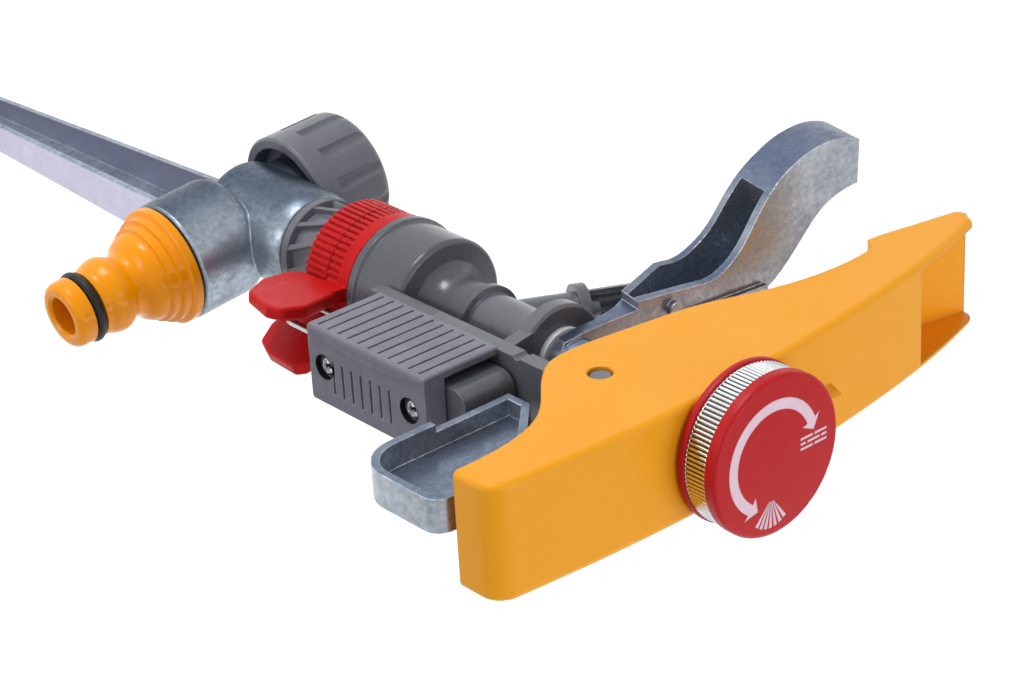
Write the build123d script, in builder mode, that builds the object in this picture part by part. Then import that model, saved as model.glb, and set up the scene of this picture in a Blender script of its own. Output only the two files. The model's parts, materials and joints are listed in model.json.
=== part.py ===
from build123d import *
import math
import os

# Gaps between parts
air = 0.3
running = 0.08
fixed = 0.05

# Levels above the soil line
inlet_z = 60.0
spike_tip_z = -180.0
riser_top_z = 82.0
nut_top_z = 95.0
collar_split_z = 102.2
collar_top_z = 109.3
barrel_base_z = 109.7
barrel_roof_z = 121.5
barrel_top_z = 125.1
tube_top_z = 131.0
sleeve_top_z = 112.4
flange_base_z = 86.2
flange_top_z = 88.4
washers_top_z = 90.9
jet_z = 138.2
boss_top_z = 159.5
washer_top_z = 160.9
hub_top_z = 170.0
arm_top_z = 164.0
beam_base_z = 166.4
beam_top_z = 173.5
bridge_base_z = 177.5
bridge_top_z = 182.0
saddle_top_z = 190.4
hood_pin_z = 187.1
knob_base_z = 208.2
knob_ring_z = 209.9
knob_cap_z = 215.1
knob_top_z = 218.0

# Inlet line, turned from the head's line
inlet_turn = math.radians(6.04)
inlet_dir = (math.cos(inlet_turn), math.sin(inlet_turn), 0)
inlet_across = (math.sin(inlet_turn), -math.cos(inlet_turn), 0)
inlet_axis = Axis((0, 0, inlet_z), inlet_dir)
inlet_side = Plane(origin=(0, 0, inlet_z), x_dir=inlet_dir, z_dir=inlet_across)

# Radii that parts share
water_r = 5.0
socket_r = 8.3
spigot_r = 9.6
sleeve_r = 8.4
tube_r = 5.8
tube_wall = 1.8
tube_flange_r = tube_r + 2.1
nut_bore_r = tube_flange_r + 0.4
nut_waist_r = nut_bore_r + 0.9
nut_rim_r = nut_bore_r + 2.5
washer_r = tube_flange_r - 0.1
collar_r = 14.1
washer_hole_r = 1.7
pin_r = 1.6
hood_pin_r = 2.2
hood_hole_r = 2.5
trip_pin_r = 1.5
spindle_r = 2.5
trunnion_r = 4.0
screw_r = 1.2

# Places along the inlet line
boss_face_x = -24.5
seal_thick = 0.7
ring_groove_x = -47.4
nose_bore_r = 4.25
ring_r = 1.15
ring_centre_r = 6.85
spigot_end_x = 24.3
cap_rim_x = 8.7
cap_floor_x = 26.0

# Post, trip housing and hood
post_x = -16.4
post_thick = 3.4
post_half = 8.0
post_base_z = 120.5
hood_pin_x = -14.8
hood_half = 12.0
web_x = 58.9
wall = 1.6
cover_front_x = -35.4
cover_low_y = -8.4
cover_high_y = 8.5
cover_base_z = 123.6
cover_top_z = 159.6
trip_z = 142.0
lever_front_x = -29.7
lever_back_x = -17.2
screw_places = ((0.1, 128.3), (0.0, 154.5))
wire_places = (-27.0, -19.0)
wire_r = 0.8
wire_end_z = 104.0

# Jet line and the tilt of the hood
jet_rise = math.radians(24)
jet_turn = math.radians(-2.5)
jet_dir = (
    math.cos(jet_turn) * math.cos(jet_rise),
    math.sin(jet_turn) * math.cos(jet_rise),
    math.sin(jet_rise),
)
jet_plane = Plane(
    origin=(0, 0, jet_z),
    x_dir=(-math.sin(jet_turn), math.cos(jet_turn), 0),
    z_dir=jet_dir,
)
jet_tube_r = 4.2
jet_tube_end = 17.8
jet_ring_end = 20.2
jet_gutter_end = 34.5
tip_r = 2.4
hood_tilt = math.radians(10)
trunnion_z = hood_pin_z + hood_pin_x * math.tan(hood_tilt / 2)

# Spike casting: boss, riser and spigot over a tapering channel spike
spike_wall = 1.7
with BuildPart() as spike_channel:
    with BuildSketch(Plane(origin=(0, 0, 57), x_dir=inlet_dir, z_dir=(0, 0, 1))):
        with Locations((0, -3.6)):
            Rectangle(2 * (8.9 - spike_wall), 15.0)
    with BuildSketch(Plane(origin=(0, 0, -152), x_dir=inlet_dir, z_dir=(0, 0, 1))):
        with Locations((0, -5.4)):
            Rectangle(1.6, 5.0)
    loft()

with BuildPart() as spike_casting:
    with BuildSketch(Plane(origin=(0, 0, 57), x_dir=inlet_dir, z_dir=(0, 0, 1))):
        with Locations((0, -7.1)):
            RectangleRounded(17.8, 12.6, 1.0)
    with BuildSketch(Plane(origin=(0, 0, -170), x_dir=inlet_dir, z_dir=(0, 0, 1))):
        with Locations((0, -8.4)):
            RectangleRounded(3.0, 1.9, 0.5)
    loft()
    with BuildSketch(Plane(origin=(0, 0, -170), x_dir=inlet_dir, z_dir=(0, 0, 1))):
        with Locations((0, -8.4)):
            RectangleRounded(3.0, 1.9, 0.5)
    with BuildSketch(Plane(origin=(0, 0, spike_tip_z), x_dir=inlet_dir, z_dir=(0, 0, 1))):
        with Locations((0, -8.4)):
            RectangleRounded(0.9, 0.7, 0.2)
    loft()
    add(spike_channel.part, mode=Mode.SUBTRACT)
    with BuildSketch(inlet_side):
        with BuildLine():
            Polyline((-7.4, 0), (boss_face_x, 0), (boss_face_x, 13.0), (-24.0, 13.5), (-11.0, 13.5))
            ThreePointArc((-11.0, 13.5), (-8.4, 12.4), (-7.4, 10.0))
            Line((-7.4, 10.0), (-7.4, 0))
        make_face()
    revolve(axis=inlet_axis)
    with BuildSketch(Plane.XZ):
        with BuildLine():
            Line((0, 53.6), (8.4, 53.6))
            ThreePointArc((8.4, 53.6), (10.8, 54.6), (11.8, 57.0))
            Polyline((11.8, 57.0), (11.6, 80.6), (10.8, riser_top_z), (0, riser_top_z), (0, 53.6))
        make_face()
    revolve(axis=Axis.Z)
    with BuildSketch(Plane.XY.offset(riser_top_z)):
        Circle(socket_r - 0.1)
    extrude(amount=3.9)
    with BuildSketch(inlet_side):
        with BuildLine():
            Polyline((cap_rim_x - air, 0), (cap_rim_x - air, 15.6), (14.0, 15.6), (14.0, 0), close=True)
        make_face()
    revolve(axis=inlet_axis, mode=Mode.SUBTRACT)
    with BuildSketch(inlet_side):
        with BuildLine():
            Polyline((0, 0), (0, spigot_r), (spigot_end_x - 0.8, spigot_r), (spigot_end_x, spigot_r - 0.8),
                     (spigot_end_x, 0), close=True)
        make_face()
    revolve(axis=inlet_axis)
    with BuildSketch(inlet_side):
        with BuildLine():
            Polyline((boss_face_x, 0), (boss_face_x, socket_r), (-12.0, socket_r), (-11.0, water_r),
                     (spigot_end_x, water_r), (spigot_end_x, 0), close=True)
        make_face()
    revolve(axis=inlet_axis, mode=Mode.SUBTRACT)
    with BuildSketch(Plane.XY.offset(inlet_z)):
        Circle(water_r)
    extrude(amount=26, mode=Mode.SUBTRACT)

# Hose nose with its ring groove, waist and stepped flange
flange_back_x = boss_face_x - seal_thick
with BuildPart() as hose_nose:
    with BuildSketch(inlet_side):
        with BuildLine():
            Polyline((-12.2, nose_bore_r), (-52.2, nose_bore_r), (-52.8, 4.9), (-52.8, 5.8))
            ThreePointArc((-52.8, 5.8), (-52.3, 6.9), (-51.2, 7.4))
            Polyline((-51.2, 7.4), (-48.8, 7.5), (-48.8, 5.65), (-46.0, 5.65), (-46.0, 7.4), (-44.4, 7.5))
            ThreePointArc((-44.4, 7.5), (-42.4, 8.3), (-40.6, 8.5))
            ThreePointArc((-40.6, 8.5), (-39.0, 7.9), (-37.8, 7.2))
            ThreePointArc((-37.8, 7.2), (-36.2, 7.3), (-35.0, 8.1))
            ThreePointArc((-35.0, 8.1), (-33.4, 9.6), (-31.4, 10.1))
            Polyline((-31.4, 10.1), (-31.2, 10.9), (-29.4, 11.1), (-29.2, 12.0), (-27.5, 12.2),
                     (-27.3, 13.0), (-27.0, 13.3), (flange_back_x, 13.3), (flange_back_x, socket_r - 0.1),
                     (-12.2, socket_r - 0.1), (-12.2, nose_bore_r))
        make_face()
    revolve(axis=inlet_axis)

with BuildPart() as nose_o_ring:
    with BuildSketch(inlet_side):
        with Locations((ring_groove_x, ring_centre_r)):
            Circle(ring_r)
    revolve(axis=inlet_axis)

with BuildPart() as nose_washer:
    with BuildSketch(inlet_side):
        with Locations((boss_face_x - seal_thick / 2, 10.6)):
            Rectangle(seal_thick, 4.4)
    revolve(axis=inlet_axis)

# End cap over the spigot, ribbed for the hand
with BuildPart() as end_cap:
    with BuildSketch(inlet_side):
        with BuildLine():
            Polyline((cap_rim_x, 12.7), (cap_rim_x, 14.6), (9.2, 15.1), (24.0, 14.7))
            ThreePointArc((24.0, 14.7), (26.6, 13.6), (27.8, 11.0))
            Polyline((27.8, 11.0), (28.4, 9.0), (28.4, 0), (cap_floor_x, 0), (cap_floor_x, spigot_r + air),
                     (13.4, spigot_r + air), (12.4, 12.3), (cap_rim_x, 12.7))
        make_face()
    revolve(axis=inlet_axis)
    with BuildSketch(Plane(origin=(0, 0, inlet_z), x_dir=inlet_across, z_dir=inlet_dir).offset(13.8)):
        with PolarLocations(15.9, 12, start_angle=7):
            Circle(2.0)
    extrude(amount=16, mode=Mode.SUBTRACT)

with BuildPart() as cap_washer:
    with BuildSketch(inlet_side):
        with Locations(((spigot_end_x + cap_floor_x) / 2 + 0.05, 7.2)):
            Rectangle(cap_floor_x - spigot_end_x - 0.1, 4.4)
    revolve(axis=inlet_axis)

# Bearing nut: waisted skirt with slanted ribs, and the sleeve that carries the collars
with BuildPart() as nut_rib:
    with BuildSketch(Plane(origin=(nut_waist_r - 0.4, 0, 88.6), x_dir=(0, 1, 0), z_dir=(1, 0, 0))):
        Rectangle(1.1, 10.4, rotation=24)
    extrude(amount=1.6)

with BuildPart() as bearing_nut:
    with BuildSketch(Plane.XZ):
        with BuildLine():
            Polyline((nut_bore_r, riser_top_z), (nut_rim_r - 0.4, riser_top_z), (nut_rim_r, 82.5),
                     (nut_rim_r, 84.4), (nut_waist_r, 84.9), (nut_waist_r, 92.2), (nut_rim_r, 92.8),
                     (nut_rim_r, nut_top_z), (sleeve_r, nut_top_z), (sleeve_r, sleeve_top_z),
                     (tube_r + running, sleeve_top_z), (tube_r + running, washers_top_z + 0.1),
                     (nut_bore_r, washers_top_z + 0.1), close=True)
        make_face()
    revolve(axis=Axis.Z)
    with PolarLocations(0, 12):
        add(nut_rib.part)

with BuildPart() as bearing_tube:
    with BuildSketch(Plane.XZ):
        with BuildLine():
            Polyline((tube_r - tube_wall, flange_base_z), (tube_flange_r, flange_base_z),
                     (tube_flange_r, flange_top_z), (tube_r, flange_top_z), (tube_r, tube_top_z),
                     (tube_r - tube_wall, tube_top_z), close=True)
        make_face()
    revolve(axis=Axis.Z)

with BuildPart() as bearing_washers:
    with BuildSketch(Plane.XZ):
        with BuildLine():
            Polyline((tube_r + fixed, flange_top_z), (washer_r, flange_top_z),
                     (washer_r, flange_top_z + 1.1), (washer_r - 0.2, flange_top_z + 1.2),
                     (washer_r, flange_top_z + 1.3), (washer_r, washers_top_z),
                     (tube_r + fixed, washers_top_z), close=True)
        make_face()
    revolve(axis=Axis.Z)

with BuildPart() as bearing_spring:
    with BuildLine() as bearing_coil:
        Helix(pitch=2.4, height=7.2, radius=tube_r + 1.5, center=(0, 0, sleeve_top_z + 1.1))
    with BuildSketch(Plane(origin=bearing_coil.line @ 0, z_dir=bearing_coil.line % 0)):
        Circle(0.55)
    sweep(is_frenet=True)

# Trip collars: serrated rings with a tab each
tab_half = 1.5
tab_corner = 1.8
collar_notches = 60
lower_tab_turn = math.radians(197.5)
upper_tab_turn = math.radians(172)
with BuildPart() as lower_collar:
    with BuildSketch(Plane.XY.offset(nut_top_z + 0.2)):
        Circle(collar_r)
        with PolarLocations(collar_r, collar_notches):
            Rectangle(0.9, 0.6, mode=Mode.SUBTRACT)
        Circle(sleeve_r + running, mode=Mode.SUBTRACT)
    extrude(amount=collar_split_z - nut_top_z - 0.3)
    with BuildSketch(
        Plane(
            origin=(0, 0, 0),
            x_dir=(math.cos(lower_tab_turn), math.sin(lower_tab_turn), 0),
            z_dir=(math.sin(lower_tab_turn), -math.cos(lower_tab_turn), 0),
        )
    ) as lower_tab:
        with BuildLine():
            Polyline((12.6, 95.4), (17.0, 94.4), (24.0, 94.6), (28.8, 96.8), (30.6, 101.3), (31.0, 110.0),
                     (29.2, 112.4), (22.0, 110.6), (17.0, 107.4), (15.8, 101.9), (12.6, 101.9), close=True)
        make_face()
        fillet(lower_tab.vertices().filter_by(lambda v: v.X > 16.5), tab_corner)
    extrude(amount=tab_half, both=True)
    fillet(lower_collar.edges().filter_by(lambda e: e.center().X < -25), 0.7)

with BuildPart() as upper_collar:
    with BuildSketch(Plane.XY.offset(collar_split_z + 0.1)):
        Circle(collar_r)
        with PolarLocations(collar_r, collar_notches):
            Rectangle(0.9, 0.6, mode=Mode.SUBTRACT)
        Circle(sleeve_r + running, mode=Mode.SUBTRACT)
    extrude(amount=3.7)
    with BuildSketch(Plane.XY.offset(106.0)):
        Circle(collar_r + 0.1)
        Circle(sleeve_r + running, mode=Mode.SUBTRACT)
    extrude(amount=collar_top_z - 106.0)
    with BuildSketch(
        Plane(
            origin=(0, 0, 0),
            x_dir=(math.cos(upper_tab_turn), math.sin(upper_tab_turn), 0),
            z_dir=(math.sin(upper_tab_turn), -math.cos(upper_tab_turn), 0),
        )
    ) as upper_tab:
        with BuildLine():
            Polyline((12.6, 102.6), (14.6, 102.6), (15.4, 95.6), (18.0, 93.8), (25.0, 94.6), (31.4, 98.6),
                     (33.6, 107.4), (32.0, 111.0), (27.0, 112.4), (20.0, 110.4), (16.0, 109.0),
                     (12.6, 108.8), close=True)
        make_face()
        fillet(upper_tab.vertices().filter_by(lambda v: v.X > 17), tab_corner)
    extrude(amount=tab_half, both=True)
    fillet(upper_collar.edges().filter_by(lambda e: e.center().X < -25), 0.7)

# Head body: barrel, pipe, boss, post, bridge and jet tube in one moulding
with BuildPart() as head_body:
    with BuildSketch(Plane.XZ):
        with BuildLine():
            Polyline((0, barrel_base_z), (14.4, barrel_base_z), (14.7, 110.0), (14.7, 111.5), (14.0, 112.2),
                     (14.0, 123.8))
            ThreePointArc((14.0, 123.8), (13.7, 124.7), (12.8, barrel_top_z))
            Line((12.8, barrel_top_z), (9.6, barrel_top_z + 0.3))
            ThreePointArc((9.6, barrel_top_z + 0.3), (8.2, 127.2), (7.3, 131.0))
            Polyline((7.3, 131.0), (7.2, 135.8), (8.1, 136.2), (8.1, 137.9), (6.8, 138.4), (6.8, 150.0),
                     (7.4, 154.6), (11.0, 156.2), (11.0, 158.9), (10.4, boss_top_z), (0, boss_top_z),
                     (0, barrel_base_z))
        make_face()
    revolve(axis=Axis.Z)
    with BuildSketch(Plane.YZ.offset(post_x)):
        with Locations((0, (post_base_z + hood_pin_z) / 2)):
            Rectangle(2 * post_half, hood_pin_z - post_base_z)
        with Locations((post_half + 0.7, 165.0)):
            Circle(1.3, mode=Mode.SUBTRACT)
    extrude(amount=post_thick)
    with BuildSketch(Plane.XZ.offset(-9.8)):
        with Locations((hood_pin_x, hood_pin_z)):
            Circle(4.2)
    extrude(amount=19.6)
    with BuildSketch(Plane.XY.offset(156.2)):
        with BuildLine():
            Polyline((-14.0, 6.8), (-3.0, 8.6), (-3.0, -8.6), (-14.0, -6.8), close=True)
        make_face()
    extrude(amount=boss_top_z - 156.2)
    with BuildSketch(Plane.XZ.offset(-1.2)):
        with BuildLine():
            Polyline((-14.0, 124.0), (-5.0, 128.0), (-5.0, 157.0), (-14.0, 157.0), close=True)
        make_face()
    extrude(amount=2.4)
    with BuildSketch(Plane.XY.offset(bridge_base_z)):
        with Locations((-7.0, 0)):
            Rectangle(14.0, 14.0)
        Circle(7.0)
    extrude(amount=bridge_top_z - bridge_base_z)
    with BuildSketch(Plane.XY.offset(bridge_top_z)):
        Circle(7.0)
        with Locations((-9.5, 0)):
            Rectangle(8.0, 3.0)
    extrude(amount=saddle_top_z - bridge_top_z)
    with BuildSketch(jet_plane):
        Circle(jet_tube_r)
    extrude(amount=jet_tube_end)
    with BuildSketch(jet_plane.offset(jet_tube_end)):
        Circle(5.8)
    extrude(amount=jet_ring_end - jet_tube_end)
    with BuildSketch(jet_plane.offset(jet_ring_end)):
        Circle(jet_tube_r)
        Circle(jet_tube_r - 1.1, mode=Mode.SUBTRACT)
        with Locations((0, 3.0)):
            Rectangle(12.0, 6.0, mode=Mode.SUBTRACT)
    extrude(amount=jet_gutter_end - jet_ring_end)
    with BuildSketch(Plane.XY.offset(150.4)):
        with Locations((30.0, 0)):
            Rectangle(12.0, 14.0)
    extrude(amount=5.0, mode=Mode.SUBTRACT)
    with BuildSketch(Plane.YZ.offset(-30.8)):
        with Locations((-2.0, screw_places[0][1]), (-2.0, screw_places[1][1])):
            Rectangle(9.4, 5.0)
    extrude(amount=-2.8)
    with BuildSketch(Plane.YZ.offset(-33.6)):
        with Locations((-6.0, screw_places[0][1]), (-6.0, screw_places[1][1])):
            Rectangle(1.4, 5.0)
    extrude(amount=post_x + 33.6)
    with BuildSketch(Plane.YZ.offset(-33.6)):
        with Locations(screw_places[0], screw_places[1]):
            Circle(screw_r)
    extrude(amount=2.8, mode=Mode.SUBTRACT)
    with BuildSketch(Plane.XY.offset(barrel_base_z)):
        Circle(12.2)
    extrude(amount=barrel_roof_z - barrel_base_z, mode=Mode.SUBTRACT)
    with BuildSketch(Plane.XY.offset(barrel_roof_z)):
        Circle(tube_r + fixed)
    extrude(amount=tube_top_z - barrel_roof_z, mode=Mode.SUBTRACT)
    with BuildSketch(Plane.XY.offset(tube_top_z)):
        Circle(4.0)
    extrude(amount=16.0, mode=Mode.SUBTRACT)
    with BuildSketch(jet_plane):
        Circle(tip_r + fixed)
    extrude(amount=jet_ring_end, mode=Mode.SUBTRACT)
    with BuildSketch(Plane.XY.offset(152.0)):
        Circle(pin_r)
    extrude(amount=28.4, mode=Mode.SUBTRACT)
    with BuildSketch(Plane.XZ.offset(-10.0)):
        with Locations((hood_pin_x, hood_pin_z)):
            Circle(hood_pin_r + fixed)
        with Locations((0, trunnion_z)):
            Circle(trunnion_r + running)
    extrude(amount=20.0, mode=Mode.SUBTRACT)
    with BuildSketch(Plane.XY.offset(180.9)):
        SlotOverall(7.6, 5.8)
    extrude(amount=12.0, mode=Mode.SUBTRACT)
    with BuildSketch(Plane.YZ.offset(post_x)):
        with Locations((0, trip_z)):
            Circle(trip_pin_r + fixed)
    extrude(amount=post_thick, mode=Mode.SUBTRACT)

with BuildPart() as nozzle_tip:
    with BuildSketch(jet_plane.offset(jet_ring_end - 3.0)):
        Circle(tip_r)
    extrude(amount=3.0)
    with BuildSketch(jet_plane.offset(jet_ring_end)):
        Circle(2.2)
    extrude(amount=2.8, taper=8)
    with BuildSketch(jet_plane.offset(jet_ring_end - 3.0)):
        Circle(1.5)
    extrude(amount=5.8, mode=Mode.SUBTRACT)

# Trip housing cover: ridged box open to the post
cover_mid_y = (cover_low_y + cover_high_y) / 2
cover_mid_x = (cover_front_x + post_x) / 2
cover_mid_z = (cover_base_z + cover_top_z) / 2
with BuildPart() as trip_cover:
    with BuildSketch(Plane.XY.offset(cover_base_z)):
        with Locations((cover_mid_x, cover_mid_y)):
            Rectangle(post_x - cover_front_x, cover_high_y - cover_low_y)
    extrude(amount=cover_top_z - cover_base_z)
    fillet(trip_cover.edges().filter_by(Axis.Z).group_by(Axis.X)[0], 1.2)
    fillet(trip_cover.edges().filter_by(Axis.Y).group_by(Axis.X)[0], 0.6)
    with BuildSketch(Plane.XY.offset(cover_base_z + wall)):
        with Locations((cover_mid_x + wall / 2, cover_mid_y)):
            Rectangle(post_x - cover_front_x - wall, cover_high_y - cover_low_y - 2 * wall)
    extrude(amount=cover_top_z - cover_base_z - 2 * wall, mode=Mode.SUBTRACT)
    with BuildSketch(Plane.XY.offset(cover_top_z - 2 * wall)):
        with Locations((-23.2, cover_mid_y)):
            Rectangle(13.6, cover_high_y - cover_low_y - 2 * wall)
    extrude(amount=2 * wall, mode=Mode.SUBTRACT)
    with BuildSketch(Plane.XY.offset(cover_base_z)):
        with Locations((-23.0, 0)):
            Rectangle(12.0, 7.0)
    extrude(amount=wall, mode=Mode.SUBTRACT)
    with BuildSketch(Plane.YZ.offset(cover_front_x)):
        with Locations(screw_places[0], screw_places[1]):
            Circle(2.7)
    extrude(amount=1.0, mode=Mode.SUBTRACT)
    with BuildSketch(Plane.YZ.offset(cover_front_x)):
        with BuildLine():
            ThreePointArc((8.0, cover_base_z), (5.7, cover_mid_z + 1.0), (8.0, cover_top_z))
            Polyline((8.0, cover_top_z), (cover_low_y, cover_top_z), (cover_low_y, cover_base_z),
                     (8.0, cover_base_z))
        make_face()
    extrude(amount=0.4, mode=Mode.SUBTRACT)
    with BuildSketch(Plane.YZ.offset(cover_front_x)):
        with Locations(screw_places[0], screw_places[1]):
            Circle(screw_r + 0.2)
    extrude(amount=wall, mode=Mode.SUBTRACT)
    with BuildSketch(Plane.YZ.offset(cover_front_x)):
        with Locations((-1.4, 139.9)):
            with GridLocations(0, 2.9, 1, 7):
                Rectangle(7.4, 0.7)
    extrude(amount=0.9, mode=Mode.SUBTRACT)
    with BuildSketch(Plane.XZ.offset(-cover_high_y)):
        with Locations((cover_mid_x + 0.3, cover_mid_z)):
            with GridLocations(0, 3.1, 1, 11):
                Rectangle(post_x - cover_front_x - 2.2, 0.6)
    extrude(amount=0.45, mode=Mode.SUBTRACT)
    with BuildSketch(Plane.YZ.offset(cover_front_x + wall)):
        with Locations((0, trip_z)):
            Circle(2.8)
    extrude(amount=1.4)
    with BuildSketch(Plane.YZ.offset(cover_front_x + wall)):
        with Locations((0, trip_z)):
            Circle(trip_pin_r + fixed)
    extrude(amount=1.4, mode=Mode.SUBTRACT)

with BuildPart() as cover_screws:
    with BuildSketch(Plane.YZ.offset(cover_front_x + 0.2)):
        with Locations(screw_places[0], screw_places[1]):
            Circle(2.0)
    extrude(amount=0.8)
    with BuildSketch(Plane.YZ.offset(cover_front_x + 1.0)):
        with Locations(screw_places[0], screw_places[1]):
            Circle(screw_r - 0.05)
    extrude(amount=3.4)

# Trip lever, rocking on its pin, with the wire that the tabs push
with BuildPart() as trip_lever:
    with BuildSketch(Plane.YZ.offset(lever_front_x)):
        with Locations((0, 158.9)):
            RectangleRounded(10.0, 12.4, 3.4)
        with Locations((0, 151.0)):
            Rectangle(5.0, 16.0)
        with Locations((0, 134.5)):
            Rectangle(4.0, 15.0)
    extrude(amount=lever_back_x - lever_front_x)
    with BuildSketch(Plane.YZ.offset(lever_front_x)):
        with Locations((0, trip_z)):
            Rectangle(12.0, 8.4)
    extrude(amount=1.4, mode=Mode.SUBTRACT)
    with BuildSketch(Plane.YZ.offset(lever_front_x + 1.4)):
        with Locations((0, trip_z)):
            Circle(3.2)
    extrude(amount=lever_back_x - lever_front_x - 1.4)
    with BuildSketch(Plane.YZ.offset(lever_front_x)):
        with Locations((0, trip_z)):
            Circle(trip_pin_r + running)
    extrude(amount=lever_back_x - lever_front_x, mode=Mode.SUBTRACT)
    with BuildSketch(Plane.XY.offset(127.0)):
        with Locations((wire_places[0], 0), (wire_places[1], 0)):
            Circle(wire_r + fixed)
    extrude(amount=9.0, mode=Mode.SUBTRACT)

wire_bend_r = (wire_places[1] - wire_places[0]) / 2
with BuildPart() as trip_wire:
    with BuildLine() as wire_path:
        Line((wire_places[0], 0, 135.5), (wire_places[0], 0, wire_end_z + wire_bend_r))
        ThreePointArc(
            (wire_places[0], 0, wire_end_z + wire_bend_r),
            ((wire_places[0] + wire_places[1]) / 2, 0, wire_end_z),
            (wire_places[1], 0, wire_end_z + wire_bend_r),
        )
        Line((wire_places[1], 0, wire_end_z + wire_bend_r), (wire_places[1], 0, 135.5))
    with BuildSketch(Plane(origin=wire_path.line @ 0, z_dir=wire_path.line % 0)):
        Circle(wire_r)
    sweep()

with BuildPart() as trip_pin:
    with BuildSketch(Plane.YZ.offset(cover_front_x + wall + 0.1)):
        with Locations((0, trip_z)):
            Circle(trip_pin_r)
    extrude(amount=post_x + post_thick - cover_front_x - wall - 0.2)

with BuildPart() as trip_spring:
    with BuildLine() as trip_coil:
        Helix(pitch=0.9, height=2.2, radius=2.6, center=(-31.6, 0, trip_z), direction=(1, 0, 0))
    with BuildSketch(Plane(origin=trip_coil.line @ 0, z_dir=trip_coil.line % 0)):
        Circle(0.35)
    sweep(is_frenet=True)

# Impact arm: hub, throat and spoon on one side, beam and tray on the other
spoon_lean = (0.2, 0, -1)
with BuildPart() as arm_pocket:
    with BuildSketch(Plane.XY.offset(arm_top_z)):
        with BuildLine():
            Polyline((52.5, -0.9), (44.0, -2.9), (34.0, -3.5), (17.0, -3.7), (17.0, 40.0), (50.0, 40.0),
                     (54.8, 17.6), (59.6, 9.0), (60.6, 4.8))
            Spline((60.6, 4.8), (57.2, 1.9), (52.5, -0.9))
        make_face()
    extrude(amount=20.0, dir=spoon_lean)
    with BuildSketch(Plane.XZ.offset(-60.0)):
        with BuildLine():
            Polyline((17.0, 162.0), (17.0, 160.4), (34.2, 152.0), (44.0, 152.0), (64.0, 154.8),
                     (64.0, 162.0), close=True)
        make_face()
    extrude(amount=120.0, mode=Mode.INTERSECT)

with BuildPart() as spoon_tip:
    with BuildSketch(Plane.XY.offset(arm_top_z - 1.8)):
        with BuildLine():
            Spline((57.6, 18.2), (61.5, 20.4), (67.4, 22.0), (74.0, 22.4), (79.4, 20.6))
            Line((79.4, 20.6), (79.0, 14.0))
            Spline((79.0, 14.0), (75.0, 13.6), (69.9, 12.2), (66.0, 9.6), (63.0, 6.9))
            Line((63.0, 6.9), (57.6, 18.2))
        make_face()
    extrude(amount=20.0, dir=spoon_lean)

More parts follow.
